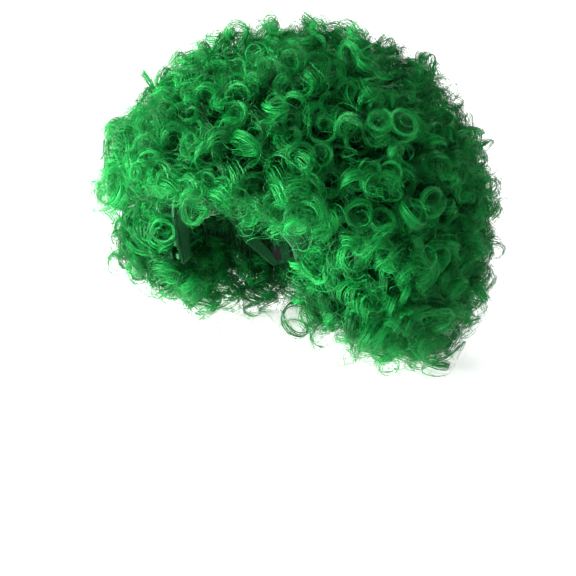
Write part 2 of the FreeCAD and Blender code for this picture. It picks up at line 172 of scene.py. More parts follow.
def on_head(y, z, offset, side):
    """Points on the side of the head, grown by an offset, at places in the side view."""
    a, b, c = HEAD[:, None] + offset
    x = a * np.sqrt(np.maximum(1 - (y / b) ** 2 - (z / c) ** 2, 0))
    return np.stack([side * x, y, z], axis=-1)


def out_of_head(points):
    """Directions away from the head at points near its surface."""
    return unit(points / HEAD ** 2)


def moved_onto(points, half):
    """Points moved towards or away from the head's centre to an ellipsoid of the given half sizes."""
    return points / np.linalg.norm(points / half, axis=-1, keepdims=True)


def any_way(count):
    return unit(rng.normal(size=(count, 3)))


def inside_outline(outline, points):
    """Which points lie inside a closed outline. Points end in Y and Z."""
    y, z = points[:, -2], points[:, -1]
    found = np.zeros(len(points), bool)
    for (y0, z0), (y1, z1) in zip(outline, np.roll(outline, -1, axis=0)):
        crosses = (z0 > z) != (z1 > z)
        if z0 != z1:
            found ^= crosses & (y < (y1 - y0) * (z - z0) / (z1 - z0) + y0)
    return found


def distance_to_line(line, points):
    """Distance in the side view from points to an open line. Points end in Y and Z."""
    flat = points[:, -2:]
    nearest = np.full(len(points), 1e9)
    for start, end in zip(line[:-1], line[1:]):
        run = end - start
        along = np.clip((flat - start) @ run / (run @ run), 0, 1)
        nearest = np.minimum(nearest, np.linalg.norm(flat - start - along[:, None] * run, axis=1))
    return nearest


def closed(outline):
    return np.vstack([outline, outline[:1]])


def skin_of(node, count):
    """Random points on a row's visible skin, their normals and kinds, and the area of that skin."""
    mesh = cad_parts[node].data
    mesh.calc_loop_triangles()
    corners = np.array([v.co for v in mesh.vertices]) / MM
    triangles = corners[np.array([t.vertices for t in mesh.loop_triangles])]
    normals = np.cross(triangles[:, 1] - triangles[:, 0], triangles[:, 2] - triangles[:, 0])
    areas = np.linalg.norm(normals, axis=1)
    picked = rng.choice(len(triangles), size=count, p=areas / areas.sum())
    a, b = rng.random((2, count, 1))
    flip = a + b > 1
    a, b = np.where(flip, 1 - a, a), np.where(flip, 1 - b, b)
    corner, second, third = triangles[picked].transpose(1, 0, 2)
    points = corner + a * (second - corner) + b * (third - corner)
    outer = off_ellipsoid(points - HAIR_CENTRE, HAIR_HALF) < OUTER_SLACK
    edge = distance_to_line(FACE_EDGE, points) < EDGE_SLACK
    head = off_ellipsoid(points, HEAD + HAIR_INSIDE) < HEAD_SLACK
    neck = off_ellipsoid(points[:, :2], NECK) < NECK_SLACK
    wall = (head | neck) & ~inside_outline(CAP_HEM, points)
    kind = np.where(outer, OUTER, np.where(edge, EDGE, np.where(wall, WALL, -1)))
    use = kind >= 0
    return points[use], unit(normals[picked])[use], kind[use], areas.sum() / 2 * use.mean()


def off_ellipsoid(points, half):
    return np.abs(np.linalg.norm(points / half, axis=1) - 1)


def spread_out(points, spacing):
    """Indices of points kept so that none is nearer to another than its own spacing."""
    kept = np.empty_like(points)
    chosen = []
    for index, (point, gap) in enumerate(zip(points, spacing)):
        near = kept[:len(chosen)] - point
        if not len(chosen) or (near * near).sum(1).min() > gap * gap:
            kept[len(chosen)] = point
            chosen.append(index)
    return np.array(chosen)


def weft_line(polar):
    """Points round a weft track, on its outer face, at an angle from the crown in degrees."""
    turn = np.linspace(0, 2 * np.pi, 360, endpoint=False)[:, None]
    polar = math.radians(polar)
    away = math.cos(polar) * CROWN + math.sin(polar) * (np.cos(turn) * ACROSS + np.sin(turn) * BEHIND)
    return moved_onto(away, HEAD + WEFT_OUTSIDE)


def roots_for(node, tips):
    """Where each tip's ringlet is sewn: on the weft track of its row."""
    if node.startswith("ear_tab"):
        y = rng.uniform(*TAB_WEFT_ENDS, len(tips))
        z = rng.choice(TAB_WEFT_LEVELS, len(tips)).astype(float)
        return on_head(y, z, WEFT_OUTSIDE, np.sign(tips[:, 0]))
    row = WEFT_ROWS if node == "crown_curls" else int(node.split("_")[2])
    line = weft_line(FIRST_WEFT - (row - 1) * ROW_PITCH)
    if row == 1:
        facing, wanted = unit(line[:, :2]), unit(tips[:, :2])
    else:
        facing = unit(line - (line @ CROWN)[:, None] * CROWN)
        wanted = unit(tips - (tips @ CROWN)[:, None] * CROWN)
    return line[np.argmax(wanted @ facing.T, axis=1)]


def face_curls(number, side):
    """Skin points for the curls that wrap round the front edge of an ear tab."""
    level, out = rng.uniform(*FACE_CURL_LEVELS, FACE_CURLS), rng.uniform(*FACE_CURL_OUT, FACE_CURLS)
    y = FACE_CURL_FRONT + FACE_CURL_SLOPE * (FACE_CURL_LEVELS[1] - level) + rng.uniform(0, 3, FACE_CURLS)
    facing = np.broadcast_to(unit(np.array([side * 0.45, -1.0, 0.0])), (FACE_CURLS, 3))
    return np.full(FACE_CURLS, number), on_head(y, level, out, side), facing, np.full(FACE_CURLS, EDGE)


def plan_ringlets():
    """Every ringlet's row, root, skin point, normal and kind, from the skins of the rows."""
    found = []
    for number, node in enumerate(HAIR_NODES):
        points, normals, kind, area = skin_of(node, SKIN_SAMPLES)
        limit = min(len(points), int(area / CURL_SPACING ** 2 * TRIES_PER_CURL))
        found.append((np.full(limit, number), points[:limit], normals[:limit], kind[:limit]))
        if node.startswith("ear_tab"):
            found.append(face_curls(number, np.sign(points[0, 0])))
    found = [np.concatenate(part) for part in zip(*found)]
    order = rng.permutation(len(found[0]))
    row, points, normals, kind = found = [part[order] for part in found]
    chosen = spread_out(points, np.where(kind == WALL, WALL_SPACING, CURL_SPACING))
    row, points, normals, kind = (part[chosen] for part in found)
    roots = np.zeros_like(points)
    for number, node in enumerate(HAIR_NODES):
        mine = row == number
        if mine.any():
            roots[mine] = roots_for(node, points[mine])
    return row, roots, points, normals, kind


def end_directions(roots, tips, normals, kind, loose):
    """Which way each ringlet's end points: outwards for rings, and along the skin and down for waves."""
    count = len(tips)
    down = np.array([0, 0, -1.0])
    outward = np.where(loose, rng.uniform(-0.05, 0.45, count), rng.uniform(0.35, 1.1, count))
    droop = np.where(loose, rng.uniform(0.4, 1.2, count), rng.uniform(0.0, 0.7, count))
    hang = down * (droop * (1 - np.abs(normals[:, 2])))[:, None]
    away = any_way(count) * rng.uniform(0.2, 0.7, (count, 1))
    flow = unit(np.cross(np.cross(normals, CROWN), normals)) * np.where(loose, -0.5, 0.0)[:, None]
    direction = normals * outward[:, None] + hang + away + flow
    along = unit(tips - roots) + down * 0.5 + away
    return unit(np.where((kind == OUTER)[:, None], direction, along))


def axis_lines(roots, tips, ends):
    """The middle line of every ringlet: out from the head, then round to its end direction."""
    out = unit(roots / (HEAD + WEFT_OUTSIDE) ** 2)
    reach = np.linalg.norm(tips - roots, axis=1, keepdims=True)
    first = roots + out * (0.38 * reach + 4)
    second = tips - ends * 0.34 * reach
    t = np.linspace(0, 1, LINE_STEPS)[None, :, None]
    roots, first, second, tips = (p[:, None, :] for p in (roots, first, second, tips))
    return (1 - t) ** 3 * roots + 3 * (1 - t) ** 2 * t * first + 3 * (1 - t) * t ** 2 * second + t ** 3 * tips


def carried_frames(lines):
    """Two directions square to each line, carried along it without twisting."""
    tangent = unit(np.gradient(lines, axis=1))
    side = np.zeros_like(lines)
    side[:, 0] = unit(np.cross(tangent[:, 0], any_way(len(lines))))
    for step in range(1, LINE_STEPS):
        previous, here = side[:, step - 1], tangent[:, step]
        side[:, step] = unit(previous - (previous * here).sum(1, keepdims=True) * here)
    return tangent, side, np.cross(tangent, side)


def smooth_step(low, high, value):
    share = np.clip((value - low) / (high - low), 0, 1)
    return share * share * (3 - 2 * share)


def on_floor(paths):
    """Bend what would go through the floor so that it lies on it."""
    z = paths[..., 2]
    low = z < REST_LEVEL + FLOOR_BEND
    z[low] = REST_LEVEL + FLOOR_BEND * np.exp((z[low] - REST_LEVEL - FLOOR_BEND) / FLOOR_BEND)
    return paths


class Ringlets:
    """The ringlets' middle lines, and how each one is wound. Strands are wound along them."""

    def __init__(self, roots, tips, ends, radius, loose):
        count = len(roots)
        self.lines = axis_lines(roots, tips, ends)
        self.tangent, self.side, self.other = carried_frames(self.lines)
        self.radius = radius
        reach = np.linalg.norm(tips - roots, axis=1)
        turns = np.where(loose, rng.uniform(1.7, 2.6, count), rng.uniform(2.6, 3.6, count))
        self.turns = turns * np.clip(reach / 60, 0.75, 1.35)
        self.hand = rng.choice([-1.0, 1.0], count)
        self.first = rng.uniform(0, 2 * np.pi, count)
        self.squeeze = np.where(loose, rng.uniform(1.0, 1.2, count), rng.uniform(1.1, 1.6, count))
        self.band = np.where(loose, rng.uniform(4.0, 7.5, count), rng.uniform(2.4, 5.0, count))
        self.tone = rng.normal(0, 0.13, count)

    def wind(self, which, samples, start, stop, slip, lag, apart, scale, wave, gather=0.5):
        """Strands on the ringlets numbered which: their points, and the direction out of the helix.

        They run from start to stop, as shares of the ringlet. Slip moves them along it, lag turns them
        back, apart and scale widen the helix, wave makes them uneven, and gather closes them at the tip.
        """
        start, stop, slip, lag, apart, scale, wave, gather = (
            np.broadcast_to(value, which.shape)[:, None]
            for value in (start, stop, slip, lag, apart, scale, wave, gather))
        u = start + (stop - start) * np.linspace(0, 1, samples)
        t = 1 - (1 - u) ** self.squeeze[which][:, None]
        turned = 2 * np.pi * self.turns[which][:, None] * u ** 1.1
        phase = self.first[which][:, None] + self.hand[which][:, None] * turned + lag * (0.3 + u)
        grown = 1.5 + (self.radius[which][:, None] - 1.5) * smooth_step(0.1, 0.55, u)
        closing = 1 - 0.14 * smooth_step(0.75, 1.0, u)
        reach = grown * closing * scale + apart * (0.4 + 0.6 * u)
        shift = slip * (0.3 + 0.7 * u) * (1 - gather * smooth_step(0.65, 1.0, u))
        place = np.clip(t * (LINE_STEPS - 1), 0, LINE_STEPS - 1.001)
        cell = place.astype(int)
        part = (place - cell)[..., None]
        row = which[:, None]

        def at(values):
            return values[row, cell] * (1 - part) + values[row, cell + 1] * part

        out = at(self.side) * np.cos(phase)[..., None] + at(self.other) * np.sin(phase)[..., None]
        paths = at(self.lines) + at(self.tangent) * shift[..., None] + out * reach[..., None]
        shape = (len(which), 1, 3)
        waves = rng.uniform(1.5, 4.5, shape) * 2 * np.pi * u[..., None] + rng.uniform(0, 2 * np.pi, shape)
        paths = paths + np.sin(waves) * wave[..., None] * (0.2 + 0.8 * u[..., None])
        return {"paths": on_floor(paths), "out": out, "along": u}


def strand_group(strands, width, thickness, tone, tapered=True):
    """Closed tubes along paths; "out" is the direction of their thickness. Sizes are half sizes.

    "along" says how far from the root each point is; the material darkens the strand by it as painted shade,
    and places its streaks by it.
    """
    paths, out = strands["paths"], strands["out"]
    tangent = unit(np.gradient(paths, axis=1))
    thin = unit(out - (out * tangent).sum(-1, keepdims=True) * tangent)
    wide = np.cross(tangent, thin)
    share = np.linspace(0, 1, paths.shape[1])
    taper = (0.6 + 0.4 * smooth_step(0, 0.15, share)) * (1 - 0.65 * smooth_step(0.7, 1.0, share))
    taper = taper if tapered else np.ones(len(share))
    breadth, depth = ((np.broadcast_to(size, len(paths))[:, None] * taper)[..., None, None]
                      for size in (width, thickness))
    angles = (np.arange(SIDES) * 2 * np.pi / SIDES)[:, None]
    ring = wide[:, :, None] * np.cos(angles) * breadth + thin[:, :, None] * np.sin(angles) * depth
    return {"points": paths[:, :, None] + ring, "tone": tone, "along": strands.get("along", share[None, :])}


def strand_mesh(name, groups, material):
    """One mesh of closed tubes; in UV each strand has its own row, with its length across the map."""
    rows = sum(len(group["points"]) for group in groups)
    points, quads, caps = [], [], []
    values = {"length": [], "level": [], "along": [], "across": [], "tone": []}
    round_it = np.linspace(0, 1, SIDES)
    first, row = 0, 0
    for group in groups:
        count, samples = group["points"].shape[:2]
        vertex = first + np.arange(count * samples * SIDES).reshape(count, samples, SIDES)
        near, far = vertex[:, :-1], vertex[:, 1:]
        quads.append(np.stack([near, np.roll(near, -1, 2), np.roll(far, -1, 2), far], axis=-1).reshape(-1, 4))
        caps.append(np.concatenate([vertex[:, 0, ::-1], vertex[:, -1]]))
        points.append(group["points"].reshape(-1, 3))
        level = (row + np.arange(count)[:, None, None] + 0.1 + 0.8 * round_it) / rows
        for key, value in (("length", np.linspace(0, 1, samples)[None, :, None]), ("level", level),
                           ("along", group["along"][..., None]), ("across", round_it),
                           ("tone", group["tone"][:, None, None])):
            values[key].append(np.broadcast_to(value, vertex.shape).ravel())
        first += vertex.size
        row += count
    points, quads, caps = np.concatenate(points) * MM, np.concatenate(quads), np.concatenate(caps)
    corners = np.concatenate([quads.ravel(), caps.ravel()]).astype(np.int32)
    starts = np.concatenate([4 * np.arange(len(quads)), 4 * len(quads) + 3 * np.arange(len(caps))])
    values = {key: np.concatenate(parts).astype(np.float32) for key, parts in values.items()}
    mesh = bpy.data.meshes.new(name)
    mesh.vertices.add(len(points))
    mesh.vertices.foreach_set("co", points.astype(np.float32).ravel())
    mesh.loops.add(len(corners))
    mesh.loops.foreach_set("vertex_index", corners)
    mesh.polygons.add(len(starts))
    mesh.polygons.foreach_set("loop_start", starts.astype(np.int32))
    mesh.update(calc_edges=True)
    mesh.shade_smooth()
    uv = np.stack([values["length"], values["level"]], axis=-1)[corners]
    mesh.uv_layers.new(name="OFBake").data.foreach_set("uv", uv.ravel())
    for key in ("along", "across", "tone"):
        mesh.attributes.new(key, "FLOAT", "POINT").data.foreach_set("value", values[key])
    mesh.materials.append(material)
    return new_object(name, mesh)


class Nodes:
    """A material's node tree, with short ways to add nodes and link them."""

    def __init__(self, name):
        self.material = bpy.data.materials.new(name)
        self.material.use_nodes = True
        self.tree = self.material.node_tree
        self.shader = self.tree.nodes["Principled BSDF"]

    def add(self, kind, inputs=None, **settings):
        made = self.tree.nodes.new(kind)
        for key, value in settings.items():
            setattr(made, key, value)
        for key, value in (inputs or {}).items():
            if isinstance(value, bpy.types.NodeSocket):
                self.tree.links.new(value, made.inputs[key])
            else:
                made.inputs[key].default_value = value
        return made

    def attribute(self, name):
        return self.add("ShaderNodeAttribute", attribute_name=name).outputs["Fac"]

    def place(self):
        return self.add("ShaderNodeTexCoord").outputs["Object"]

    def noise(self, scale, detail, place=None):
        vector = {} if place is None else {"Vector": place}
        return self.add("ShaderNodeTexNoise", {**vector, "Scale": scale, "Detail": detail}).outputs["Fac"]

    def bump(self, height, strength, distance):
        inputs = {"Height": height, "Strength": strength, "Distance": distance}
        return self.add("ShaderNodeBump", inputs).outputs["Normal"]

    def maths(self, operation, first, second=0.0):
        return self.add("ShaderNodeMath", {0: first, 1: second}, operation=operation).outputs[0]

    def times(self, first, second):
        return self.maths("MULTIPLY", first, second)

    def plus(self, first, second):
        return self.maths("ADD", first, second)

    def sine(self, angle):
        return self.maths("SINE", angle)

    def ramp(self, value, stops):
        made = self.add("ShaderNodeValToRGB", {"Fac": value})
        elements = made.color_ramp.elements
        while len(elements) < len(stops):
            elements.new(0.5)
        for element, (position, colour) in zip(elements, stops):
            element.position = position
            element.color = (*colour, 1)
        return made.outputs["Color"]

    def set(self, **values):
        """Set the shader's inputs; underscores stand for spaces."""
        for key, value in values.items():
            socket = self.shader.inputs[key.replace("_", " ")]
            if isinstance(value, bpy.types.NodeSocket):
                self.tree.links.new(value, socket)
            else:
                socket.default_value = value
        return self.material


def hair_material():
    """Dyed synthetic fibre in fine streaks of slightly different green, with painted shade that darkens it
    towards the root.
    """
    nodes = Nodes("curled_fibre")
    along, across, tone = (nodes.attribute(name) for name in ("along", "across", "tone"))
    place = nodes.add("ShaderNodeCombineXYZ", {"X": nodes.times(along, 2.0), "Y": nodes.times(across, 3.5),
                                               "Z": nodes.times(tone, 60.0)}).outputs[0]
    mix = nodes.plus(nodes.times(tone, 0.6), nodes.times(nodes.noise(1.0, 3.0, place), 0.5))
    fibre = nodes.ramp(mix, [(0.25, (0.002, 0.13, 0.02)), (0.55, (0.004, 0.28, 0.043)),
                             (0.85, (0.015, 0.46, 0.085))])
    # Painted shade: the colour is darkened towards the root, where the fibre lies deep in the hair, by how
    # far along its ringlet it is.
    depth = nodes.ramp(along, [(0.0, (0.1, 0.1, 0.1)), (0.5, (0.36, 0.36, 0.36)), (0.85, (1, 1, 1))])
    # Inputs 6 and 7 of a colour mix are its two colours, and output 2 is the mixed one.
    mixed = nodes.add("ShaderNodeMix", {0: 1.0, 6: fibre, 7: depth}, data_type="RGBA", blend_type="MULTIPLY")
    return nodes.set(Base_Color=mixed.outputs[2], Roughness=0.34, Metallic=0.22, Specular_IOR_Level=0.38,
                     Specular_Tint=(0.5, 1.0, 0.7, 1))


def tones(ringlets, which, spread=0.14):
    return np.clip(0.5 + ringlets.tone[which] + rng.normal(0, spread, len(which)), 0, 1)


def even_band(ringlets, mine, strands, jitter=0.5):
    """Side by side places across the bands of some ringlets."""
    place = np.tile(np.linspace(-1, 1, strands), len(mine)) * ringlets.band[mine.repeat(strands)]
    return place + rng.normal(0, jitter, len(place))


def fine_fibres(ringlets, mine, copies, samples, latest, slip, lag, apart, widest, scale, wave):
    """Single fibres in and about some ringlets. Half are wild: pairs say how much for these and the rest."""
    which = mine.repeat(copies)
    count = len(which)
    wild = rng.random(count) < 0.5

    def spread(pair):
        return rng.normal(0, 1, count) * np.where(wild, *pair)

    fine = ringlets.wind(which, samples, rng.uniform(0.3, latest, count), rng.uniform(0.9, 1.0, count),
                         spread(slip), spread(lag), spread(apart),
                         np.where(wild, rng.uniform(*widest, count), scale), np.where(wild, *wave))
    return strand_group(fine, FINE, FINE, tones(ringlets, which))


def band_starts(mine, clumps, every, first, last):
    """Which ringlet each strand of a band is on, and where it starts; one in so many starts at the root."""
    which = mine.repeat(clumps)
    rooted = np.tile(np.arange(clumps) % every == 2, len(mine))
    return which, np.where(rooted, 0.05, rng.uniform(first, last, len(which)))


def rings_of(ringlets, mine):
    """Tight ringlets that end in a ring: a core that closes to a thin ring, and looser fibres in it."""
    which, start = band_starts(mine, 9, 4, 0.25, 0.45)
    count = len(which)
    core = ringlets.wind(which, 32, start, rng.uniform(0.88, 1.0, count), even_band(ringlets, mine, 9),
                         rng.normal(0, 0.16, count), rng.normal(0, 0.45, count),
                         1 + rng.normal(0, 0.025, count), 0.45, rng.uniform(0.6, 0.9, count))
    return [strand_group(core, rng.uniform(0.26, 0.42, count), 0.2, tones(ringlets, which)),
            fine_fibres(ringlets, mine, 11, 25, 0.55, (5.5, 3.5), (0.8, 0.25), (2.2, 1.0), (0.4, 1.2), 1.02,
                        (1.8, 0.8))]


def waves_of(ringlets, mine):
    """Loose ringlets: wide bands of fibres that lie along the skin in waves."""
    which, start = band_starts(mine, 13, 5, 0.2, 0.45)
    count = len(which)
    band = ringlets.wind(which, 25, start, rng.uniform(0.84, 1.0, count),
                         even_band(ringlets, mine, 13, 0.8), rng.normal(0, 0.3, count),
                         rng.normal(0, 0.9, count), 1 + rng.normal(0, 0.05, count), 0.8, 0.3)
    return [strand_group(band, rng.uniform(0.24, 0.4, count), 0.19, tones(ringlets, which)),
            fine_fibres(ringlets, mine, 13, 20, 0.6, (6.5, 5.0), (0.9, 0.4), (2.4, 1.3), (0.5, 1.4), 1.05,
                        (2.2, 1.0))]


def lengths_below(ringlets, mine):
    """The hidden lengths between the net and the curls."""
    which = mine.repeat(3)
    count = len(which)
    strands = ringlets.wind(which, 12, 0.0, rng.uniform(0.5, 0.72, count), rng.normal(0, 5, count),
                            rng.normal(0, 1.0, count), rng.normal(0, 3.5, count), 1.0, 2.5)
    # Painted shade: their tone is cut to 0.7 and they stop short of the tips, so they stay dark as if in the
    # shade under the curls.
    return strand_group(strands, rng.uniform(0.5, 0.9, count), 0.4, tones(ringlets, which) * 0.7)


def arcs(centres, normals, radius, sweep, thickness, tone, copies=1, samples=22):
    """Stray fibres, single or a few side by side: loose arcs and loops about given centres."""
    axis = unit(normals * rng.normal(0, 0.6, (len(centres), 1)) + rng.normal(size=(len(centres), 3)))
    side = unit(np.cross(axis, rng.normal(size=(len(centres), 3))))
    centres, axis, side, radius, sweep, tone = (
        values.repeat(copies, axis=0) for values in (centres, axis, side, radius, sweep, tone))
    count = len(centres)
    centres = centres + rng.normal(0, 0.5, (count, 3)) * (copies > 1)
    radius = radius * (1 + rng.normal(0, 0.07, count) * (copies > 1))
    other = np.cross(axis, side)
    turn = (np.linspace(-0.5, 0.5, samples) * sweep[:, None])[..., None]
    grow = 1 + rng.normal(0, 0.25, (count, 1, 1)) * turn / 3
    reach = radius[:, None, None] * np.clip(grow, 0.3, 1.8)
    out = side[:, None] * np.cos(turn) + other[:, None] * np.sin(turn)
    drift = axis[:, None] * turn * rng.normal(0, 2.0, (count, 1, 1))
    strands = {"paths": on_floor(centres[:, None] + out * reach + drift), "out": out,
               "along": np.broadcast_to(rng.uniform(0.6, 1.0, (count, 1)), (count, samples))}
    return strand_group(strands, thickness, thickness, tone)


def ribbons(paths, width, tone, colour_reach):
    """Flat fibres along paths, facing any way; their tips are coloured as far along as colour_reach, so a
    short reach keeps them in the painted shade near the root.
    """
    count, samples = paths.shape[:2]
    side = unit(np.cross(paths[:, -1] - paths[:, 0], rng.normal(size=(count, 3))))
    strands = {"paths": paths, "out": np.broadcast_to(side[:, None], paths.shape),
               "along": np.linspace(0, 1, samples)[None, :] * colour_reach}
    return strand_group(strands, rng.uniform(*width, count), RIBBON, rng.uniform(*tone, count))


def root_fringe(material):
    """Short lengths of fibre that rise from every weft track, or are laid along it, and close the gaps."""
    starts = []
    for row in range(WEFT_ROWS):
        line = weft_line(FIRST_WEFT - row * ROW_PITCH)
        line = line[inside_outline(CAP_HEM, line)]
        turn = rng.integers(0, len(line), int(len(line) * (3.9 if row < 9 else 3.0)))
        starts.append(line[turn] + rng.normal(0, 0.7, (len(turn), 3)))
    starts = np.concatenate(starts)
    count = len(starts)
    out = out_of_head(starts)
    across = unit(np.cross(out, CROWN))
    lean = across * rng.normal(0, 0.9, (count, 1)) - np.cross(across, out) * rng.normal(0.3, 0.8, (count, 1))
    laid = rng.random((count, 1)) < 0.5
    lean = lean * np.where(laid, 1.7, 1.0)
    rise = np.where(laid, 0.45, 1.0)
    reach = rng.uniform(10, 24, (count, 1))
    share = np.linspace(0, 1, 5)[None, :, None]
    bend = any_way(count) * rng.uniform(1, 5, (count, 1))
    paths = (starts - out * 1.2)[:, None] + (out * reach * rise)[:, None] * (share - 0.45 * share ** 2)
    paths = paths + (lean * reach)[:, None] * share ** 1.5 + bend[:, None] * np.sin(share * 5)
    # Painted shade: low tones and a colour reach of 0.3 keep these fibres dark, as if in the shade under the
    # curls.
    group = ribbons(paths, (0.7, 1.2), (0.05, 0.4), 0.3)
    clear = inside_outline(CAP_HEM, paths[:, -1])
    for name, mine in (("root_fringe_left", clear & (starts[:, 0] > 0)),
                       ("root_fringe_right", clear & (starts[:, 0] <= 0))):
        half = {"points": group["points"][mine], "tone": group["tone"][mine], "along": group["along"]}
        dress(strand_mesh(name, [half], material), "hair")


def nape_fringe(material):
    """Fibres that hang from the two lowest tracks behind the neck and close the view through the curls."""
    tracks = np.concatenate([weft_line(FIRST_WEFT), weft_line(FIRST_WEFT - ROW_PITCH)])
    tracks = tracks[inside_outline(CAP_HEM, tracks) & (tracks[:, 1] > 0)]
    starts = tracks[rng.integers(0, len(tracks), NAPE_FIBRES)]
    each = (NAPE_FIBRES, 1)
    out = unit(starts * (1, 1, 0))
    around_neck = np.cross(out, (0, 0, 1))
    share = np.linspace(0, 1, 6)[None, :, None]
    paths = starts[:, None] + (out * rng.uniform(3, 20, each))[:, None] * share ** 0.7
    paths = paths + (around_neck * rng.normal(0, 12, each))[:, None] * share
    paths = paths - np.array((0, 0, 1)) * rng.uniform(4, 48, (*each, 1)) * share ** 1.1
    bend = any_way(NAPE_FIBRES) * rng.uniform(1, 3, each)
    paths = on_floor(paths + bend[:, None] * np.sin(share * 9))
    # Painted shade: low tones and a colour reach of one half keep these fibres darker, as if shaded by the
    # curls.
    dress(strand_mesh("root_fringe_nape", [ribbons(paths, (0.6, 1.0), (0.1, 0.5), 0.5)], material), "hair")


def fringe_lift(skin):
    """How far the fringe's curls rise above the row's straight edge, so that it arches over the face."""
    middle = 1 - smooth_step(42, 84, np.abs(skin[:, 0]))
    front = smooth_step(55, 88, -skin[:, 1])
    low = np.exp(-(np.maximum(skin[:, 2] - FACE_EDGE[1, 1], 0) / 26) ** 2) * (skin[:, 2] > BROW_LEVEL)
    outer = smooth_step(100, 150, np.linalg.norm(skin[:, :2], axis=1))
    return (12 + 10 * outer) * middle * front * low


def curl_tips(skin, normals, kind, radius, ends):
    """Each ringlet's tip, so far below the skin that its curl touches it, with an uneven outline."""
    lean = np.linalg.norm(np.cross(ends, normals), axis=1)
    swell = SWELL_HEIGHT * sum(np.sin(skin @ direction + phase) for direction, phase in SWELLS)
    for centre, reach, height in BULGES:
        swell = swell + height * np.exp(-((skin - centre) ** 2).sum(1) / reach ** 2)
    depth = np.where(kind == OUTER, radius * lean - rng.uniform(-1, 4, len(skin)) - swell, radius + 1.5)
    over_brow = skin[:, 2] > BROW_LEVEL
    beside_face = ~over_brow & (skin[:, 2] > BESIDE_FACE_LOW)
    depth = depth + np.where(kind == EDGE, 3.0 * over_brow - 4.0 * beside_face, 0)
    tips = skin - normals * depth[:, None]
    to_brow = distance_to_line(FACE_EDGE[:BROW_CORNERS], skin)
    tips[:, 2] += np.where(over_brow & (kind == OUTER), 0.7 * np.maximum(radius - to_brow, 0), 0)
    return tips, to_brow


def stray_fibres(ringlets, part, skin, normals, kind):
    """Single fibres between some ringlets, and loops of a few fibres that stand out from them."""
    stray = part.repeat(STRAYS_PER_CURL)
    bow = rng.uniform(5, 12, len(stray))
    sunk = bow * rng.uniform(0.6, 1.1, len(stray)) + rng.uniform(-1, 9, len(stray))
    inner = skin[stray] - normals[stray] * sunk[:, None] + rng.normal(0, 2.5, (len(stray), 3))
    single = arcs(inner, normals[stray], bow, rng.uniform(1.5, 7, len(stray)), FINE, tones(ringlets, stray),
                  samples=18)
    loops = part[(rng.random(len(part)) < LOOP_SHARE) & (kind[part] == OUTER) & (skin[part, 2] > LOWEST_LOOP)]
    above = skin[loops] + normals[loops] * rng.uniform(-6, 3.5, (len(loops), 1))
    return [single, arcs(above, normals[loops], rng.uniform(5, 9.5, len(loops)),
                         rng.uniform(5.5, 8, len(loops)), LOOP_FIBRE, tones(ringlets, loops) * 0.7, copies=4)]


def grow_hair():
    """All the ringlets, joined into pieces by row and by side."""
    row, roots, skin, normals, kind = plan_ringlets()
    skin[:, 2] += fringe_lift(skin)
    count = len(row)
    loose = rng.random(count) < LOOSE_SHARE
    radius = np.clip(rng.normal(CURL_RADIUS, CURL_RADIUS_SPREAD, count), *CURL_RADIUS_RANGE)
    radius = radius * np.where(loose, LOOSE_NARROWING, 1.0)
    ends = end_directions(roots, skin, normals, kind, loose)
    tips, to_brow = curl_tips(skin, normals, kind, radius, ends)
    ringlets = Ringlets(roots, tips, ends, radius, loose)
    # Painted light: ringlets near the brow get a lighter tone, so the fringe reads brighter as if lit from
    # the front.
    ringlets.tone += 0.3 * np.exp(-(to_brow / 22) ** 2)
    material = hair_material()
    root_fringe(material)
    for number, node in enumerate(HAIR_NODES):
        mine = np.flatnonzero(row == number)
        if not len(mine):
            continue
        mine = mine[np.argsort(np.arctan2(tips[mine, 0], -tips[mine, 1]))]
        parts = np.array_split(mine, math.ceil(len(mine) / CURLS_PER_PIECE))
        for part_number, part in enumerate(parts, start=1):
            groups = [lengths_below(ringlets, part)]
            for some, make in ((part[~loose[part]], rings_of), (part[loose[part]], waves_of)):
                if len(some):
                    groups += make(ringlets, some)
            groups += stray_fibres(ringlets, part, skin, normals, kind)
            dress(strand_mesh(f"{node}_ringlets_{part_number}", groups, material), "hair", node)
    nape_fringe(material)


def on_brow(x, z, offset):
    """Points on the front of the head, grown by an offset."""
    half = HEAD + offset
    y = -half[1] * np.sqrt(np.maximum(1 - (x / half[0]) ** 2 - (z / half[2]) ** 2, 0))
    return np.stack([x, y, z], axis=-1)


def on_nape(radius, angle, z):
    """Points about the nape axis; angles in degrees from the rear centre, towards the left."""
    reach = radius + NAPE_SLOPE * (z - NAPE_LEVEL)
    turn = np.radians(angle)
    return np.stack([reach * np.sin(turn), NAPE_Y + reach * np.cos(turn), z + 0 * turn], axis=-1)


def along_line(line, step):
    """Points at even steps along a polyline, in any number of dimensions."""
    runs = np.linalg.norm(np.diff(line, axis=0), axis=1)
    ends = np.concatenate([[0], np.cumsum(runs)])
    marks = np.linspace(0, ends[-1], max(2, int(ends[-1] / step) + 1))
    return np.stack([np.interp(marks, ends, line[:, axis]) for axis in range(line.shape[1])], axis=-1)


def stitch_group(line, outward):
    """A row of short stitches along a line; each one rises inwards from the cloth and dips back in."""
    cell_size = 1 / STITCH_CELLS
    fine = along_line(line, cell_size)
    directions = -outward(fine)
    count = max(1, int((len(fine) - 1) * cell_size / STITCH_STEP))
    share = np.linspace(0, 1, 6)
    marks = (np.arange(count)[:, None] * STITCH_STEP + share * STITCH) * STITCH_CELLS
    cell = np.minimum(marks.astype(int), len(fine) - 1)
    out = directions[cell]
    lift = 0.28 * np.sin(np.pi * share)[None, :, None] - 0.08
    paths = fine[cell] + out * lift
    return strand_group({"paths": paths, "out": out}, 0.22, 0.2, np.full(count, 0.5), tapered=False)


